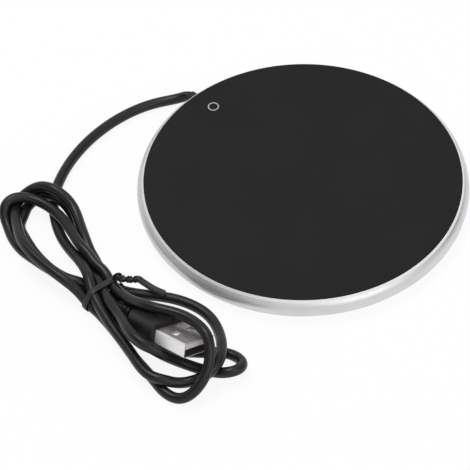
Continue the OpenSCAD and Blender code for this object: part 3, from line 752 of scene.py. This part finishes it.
def heater_film():
    """Amber film with the dark track of the heating foil."""
    m, nodes, links, shader = material("heater_film")
    at = nodes.new("ShaderNodeTexCoord").outputs["Object"]
    track = nodes.new("ShaderNodeTexWave")
    track.wave_type = "RINGS"
    track.rings_direction = "Z"
    track.inputs["Scale"].default_value = 75
    track.inputs["Distortion"].default_value = 0.6
    links.new(at, track.inputs["Vector"])
    grain = noise(nodes, links, at, along_axes(0.4))
    links.new(ramp(nodes, links, track.outputs["Fac"], (0.46, 0.13, 0.012), (0.13, 0.06, 0.02),
                   0.45, 0.55), shader.inputs["Base Color"])
    links.new(between(nodes, links, grain, 0.2, 0.32), shader.inputs["Roughness"])
    links.new(bumped(nodes, links, track.outputs["Fac"], 0.3, 0.05), shader.inputs["Normal"])
    return m


def solder_mask():
    """Green circuit board on which the copper tracks show through the lacquer."""
    m, nodes, links, shader = material("solder_mask")
    at = nodes.new("ShaderNodeTexCoord").outputs["Object"]
    tracks = nodes.new("ShaderNodeTexBrick")
    tracks.inputs["Scale"].default_value = 140
    tracks.inputs["Mortar Size"].default_value = 0.05
    tracks.inputs["Color1"].default_value = (0.012, 0.10, 0.034, 1)
    tracks.inputs["Color2"].default_value = (0.010, 0.085, 0.030, 1)
    tracks.inputs["Mortar"].default_value = (0.03, 0.19, 0.06, 1)
    links.new(at, tracks.inputs["Vector"])
    grain = noise(nodes, links, at, along_axes(0.3))
    links.new(tracks.outputs["Color"], shader.inputs["Base Color"])
    links.new(between(nodes, links, grain, 0.22, 0.36), shader.inputs["Roughness"])
    links.new(bumped(nodes, links, tracks.outputs["Fac"], 0.4, 0.03), shader.inputs["Normal"])
    return m


def paint(obj, mat):
    """Gives an object one material all over."""
    obj.data.materials.clear()
    obj.data.materials.append(mat)


def paint_all(tongue, strips):
    """Material for every CAD node, and for the two parts inside the plug that replace nodes."""
    turn = PLUG_TURN.to_euler()
    moulded = coated("moulded_pvc", low=(0.0085, 0.0085, 0.0088), high=(0.013, 0.013, 0.0135),
                     rough=(0.46, 0.6), clouds=5, grain=0.16, depth=0.016, specular=0.36)
    looks = {
        "rim_ring": blasted_rim(),
        "top_plate": plate_coating(),
        "touch_mark": coated("printed_mark", low=(0.39, 0.393, 0.397), high=(0.47, 0.474, 0.478),
                             rough=(0.4, 0.5), clouds=0.6, grain=0.1, depth=0.006),
        "plate_gasket": coated("gasket_rubber", low=(0.006, 0.006, 0.006),
                               high=(0.011, 0.011, 0.011), rough=(0.6, 0.75), clouds=(3, 3, 1),
                               grain=0.2, depth=0.02),
        "heat_spreader": coated("mill_aluminium", low=(0.62, 0.63, 0.64), high=(0.76, 0.77, 0.78),
                                rough=(0.24, 0.42), clouds=(30, 4, 4), grain=(8, 0.15, 0.15),
                                depth=0.01, metal=1.0),
        "heating_film": heater_film(),
        "insulation_pad": coated("glass_felt", low=(0.62, 0.58, 0.5), high=(0.84, 0.8, 0.72),
                                 rough=(0.85, 0.98), clouds=(4, 4, 1), grain=(1.6, 0.12, 0.12),
                                 depth=0.12),
        "temperature_sensor": coated("epoxy_bead", low=(0.012, 0.05, 0.016),
                                     high=(0.03, 0.09, 0.03), rough=(0.12, 0.25), clouds=1,
                                     grain=0.2, depth=0.02),
        "sensor_leads": coated("tinned_leads", low=(0.62, 0.62, 0.62), high=(0.76, 0.76, 0.77),
                               rough=(0.2, 0.36), clouds=1, grain=(0.1, 0.1, 1.2), depth=0.01,
                               metal=1.0),
        "thermal_fuse": coated("glazed_ceramic", low=(0.56, 0.46, 0.18), high=(0.72, 0.62, 0.3),
                               rough=(0.1, 0.22), clouds=2, grain=0.3, depth=0.015),
        "heater_leads": coated("red_insulation", low=(0.30, 0.012, 0.012),
                               high=(0.44, 0.025, 0.022), rough=(0.28, 0.42), clouds=2,
                               grain=(0.2, 0.8, 0.2), depth=0.015),
        "power_leads": coated("lead_insulation", low=(0.26, 0.011, 0.011),
                              high=(0.4, 0.022, 0.02), rough=(0.3, 0.44), clouds=2,
                              grain=(0.2, 0.8, 0.2), depth=0.015),
        "control_board": solder_mask(),
        "control_chip": coated("chip_epoxy", low=(0.010, 0.010, 0.011),
                               high=(0.018, 0.018, 0.018), rough=(0.5, 0.66), clouds=1,
                               grain=0.08, depth=0.012),
        "board_components": coated("fired_ceramic", low=(0.16, 0.11, 0.06),
                                   high=(0.32, 0.24, 0.15), rough=(0.4, 0.6), clouds=1.2,
                                   grain=0.12, depth=0.012),
        "indicator_led": coated("led_lens", low=(0.8, 0.78, 0.68), high=(0.92, 0.9, 0.82),
                                rough=(0.08, 0.16), clouds=0.6, grain=0.1, depth=0.006),
        "touch_spring": coated("spring_steel", low=(0.5, 0.5, 0.51), high=(0.68, 0.68, 0.69),
                               rough=(0.2, 0.35), clouds=(1, 1, 0.3), grain=0.1, depth=0.008,
                               metal=1.0),
        "board_screws": coated("zinc_board_screws", low=(0.52, 0.53, 0.55),
                               high=(0.66, 0.67, 0.69), rough=(0.22, 0.4), clouds=0.8, grain=0.1,
                               depth=0.01, metal=1.0),
        "cover_screws": coated("zinc_cover_screws", low=(0.5, 0.51, 0.53),
                               high=(0.66, 0.67, 0.69), rough=(0.24, 0.42), clouds=1, grain=0.12,
                               depth=0.012, metal=1.0),
        "bottom_cover": coated("grained_cover", low=(0.013, 0.013, 0.0135),
                               high=(0.019, 0.019, 0.0195), rough=(0.52, 0.7), clouds=9,
                               grain=0.35, depth=0.05),
        "rubber_feet": coated("foot_rubber", low=(0.017, 0.017, 0.017),
                              high=(0.028, 0.028, 0.028), rough=(0.7, 0.86), clouds=4, grain=0.25,
                              depth=0.03),
        "cord_grommet": moulded,
        "usb_overmould": moulded,
        "usb_shell": nickel(),
        "usb_insulator": coated("tongue_plastic", low=(0.78, 0.76, 0.76), high=(0.88, 0.86, 0.86),
                                rough=(0.35, 0.5), clouds=2, grain=0.12, depth=0.012),
        "usb_contacts": coated("gold_plate", low=(0.62, 0.42, 0.13), high=(0.8, 0.58, 0.22),
                               rough=(0.18, 0.34), clouds=(1, 3, 1), grain=(0.1, 1.5, 0.1),
                               depth=0.01, metal=1.0, turn=turn),
    }
    # the nodes that the cord and the tie replace stay hidden, and get the moulded pieces' look
    for name in NODES:
        paint(NODES[name], looks.get(name, moulded))
    paint(tongue, looks["usb_insulator"])
    paint(strips, looks["usb_contacts"])


# ---------------------------------------------------------------- floor and light


def seen_directly(nodes, links, rays):
    """1 for a ray from the camera, by way of a gloss or through glass, and 0 for other light."""
    seen = combined(nodes, links, "MAXIMUM", rays["Is Camera Ray"], rays["Is Glossy Ray"])
    return combined(nodes, links, "MAXIMUM", seen, rays["Is Transmission Ray"])


# half the floor's side in metres, the strength of its glow, and the glow's share in what is seen
FLOOR_HALF = 3.0
FLOOR_GLOW = 1.03
GLOW_SHARE = 0.87


def make_floor():
    """White floor, which shows almost even white and still takes soft shadows."""
    s = FLOOR_HALF
    mesh = bpy.data.meshes.new("floor")
    mesh.from_pydata([(-s, -s, 0), (s, -s, 0), (s, s, 0), (-s, s, 0)], [], [(0, 1, 2, 3)])
    floor = added("floor", mesh)
    m, nodes, links, shader = material("floor_white")
    shader.inputs["Base Color"].default_value = (0.85, 0.85, 0.85, 1)
    shader.inputs["Roughness"].default_value = 0.9
    shader.inputs["Specular IOR Level"].default_value = 0.2
    glow = nodes.new("ShaderNodeEmission")
    glow.inputs["Strength"].default_value = FLOOR_GLOW
    seen = seen_directly(nodes, links, nodes.new("ShaderNodeLightPath").outputs)
    mix = nodes.new("ShaderNodeMixShader")
    links.new(combined(nodes, links, "MULTIPLY", seen, GLOW_SHARE), mix.inputs["Fac"])
    links.new(shader.outputs["BSDF"], mix.inputs[1])
    links.new(glow.outputs["Emission"], mix.inputs[2])
    links.new(mix.outputs["Shader"], nodes["Material Output"].inputs["Surface"])
    mesh.materials.append(m)


def towards(azimuth, elevation):
    """Unit vector from the middle of the object in a direction given in degrees."""
    a, e = math.radians(azimuth), math.radians(elevation)
    return Vector((math.cos(a) * math.cos(e), math.sin(a) * math.cos(e), math.sin(e)))


def card(nodes, links, direction, azimuth, elevation, inner, outer, depth):
    """1 away from a direction of the studio, and 1 - depth in it: a dark card with soft edges."""
    to = nodes.new("ShaderNodeVectorMath")
    to.operation = "DOT_PRODUCT"
    to.inputs[1].default_value = towards(azimuth, elevation)
    links.new(direction, to.inputs[0])
    node = nodes.new("ShaderNodeMapRange")
    node.interpolation_type = "SMOOTHSTEP"
    node.inputs["From Min"].default_value = math.cos(math.radians(outer))
    node.inputs["From Max"].default_value = math.cos(math.radians(inner))
    node.inputs["To Min"].default_value = 1.0
    node.inputs["To Max"].default_value = 1.0 - depth
    links.new(to.outputs["Value"], node.inputs["Value"])
    return node.outputs["Result"]


# the cards round the object: azimuth, elevation, radius of the card's even middle and of its
# whole, all in degrees, and how much of the white it takes away
CARDS = ((153, 40, 12, 35, 1.0), (-22, 27, 8, 29, 0.8), (50, 45, 5, 24, 0.4))
# what the studio gives as light, other than in mirror images
EVEN_LIGHT = (0.5, 0.5, 0.5, 1)


def make_world():
    """A white studio with three darker cards, which gloss and metal show, and even light."""
    world = bpy.data.worlds.new("world")
    SCENE.world = world
    world.use_nodes = True
    nodes, links = world.node_tree.nodes, world.node_tree.links
    nodes.clear()
    out = nodes.new("ShaderNodeOutputWorld")
    direction = nodes.new("ShaderNodeTexCoord").outputs["Generated"]
    studio, *others = [card(nodes, links, direction, *look) for look in CARDS]
    for other in others:
        studio = combined(nodes, links, "MULTIPLY", studio, other)
    lit = nodes.new("ShaderNodeBackground")
    lit.inputs["Color"].default_value = EVEN_LIGHT
    mirrored = nodes.new("ShaderNodeBackground")
    links.new(studio, mirrored.inputs["Strength"])
    white = nodes.new("ShaderNodeBackground")
    white.inputs["Color"].default_value = (1, 1, 1, 1)
    rays = nodes.new("ShaderNodeLightPath").outputs
    seen = seen_directly(nodes, links, rays)
    first = nodes.new("ShaderNodeMixShader")
    links.new(seen, first.inputs["Fac"])
    links.new(lit.outputs["Background"], first.inputs[1])
    links.new(mirrored.outputs["Background"], first.inputs[2])
    last = nodes.new("ShaderNodeMixShader")
    links.new(rays["Is Camera Ray"], last.inputs["Fac"])
    links.new(first.outputs["Shader"], last.inputs[1])
    links.new(white.outputs["Background"], last.inputs[2])
    links.new(last.outputs["Shader"], out.inputs["Surface"])


def area_light(name, azimuth, elevation, distance, side, power):
    """Soft square lamp that looks at the middle of the object from a direction in degrees."""
    at = towards(azimuth, elevation) * distance
    data = bpy.data.lights.new(name, "AREA")
    data.shape = "RECTANGLE"
    data.size = side
    data.size_y = side
    data.energy = power
    light = added(name, data)
    light.location = at
    light.rotation_euler = (-at).to_track_quat("-Z", "Y").to_euler()


# ---------------------------------------------------------------- build

SCENE.view_settings.view_transform = "Standard"
make_camera()
cord, cord_path, cord_length = make_cord()
tie = make_tie(cord_path)
tongue = turned_over("plug_tongue", "usb_insulator")
strips = turned_over("plug_contacts", "usb_contacts")
paint_all(tongue, strips)

make_floor()
make_world()
area_light("front", azimuth=-92, elevation=42, distance=1.6, side=1.0, power=4.4)
area_light("side", azimuth=100, elevation=72, distance=1.4, side=0.6, power=7)
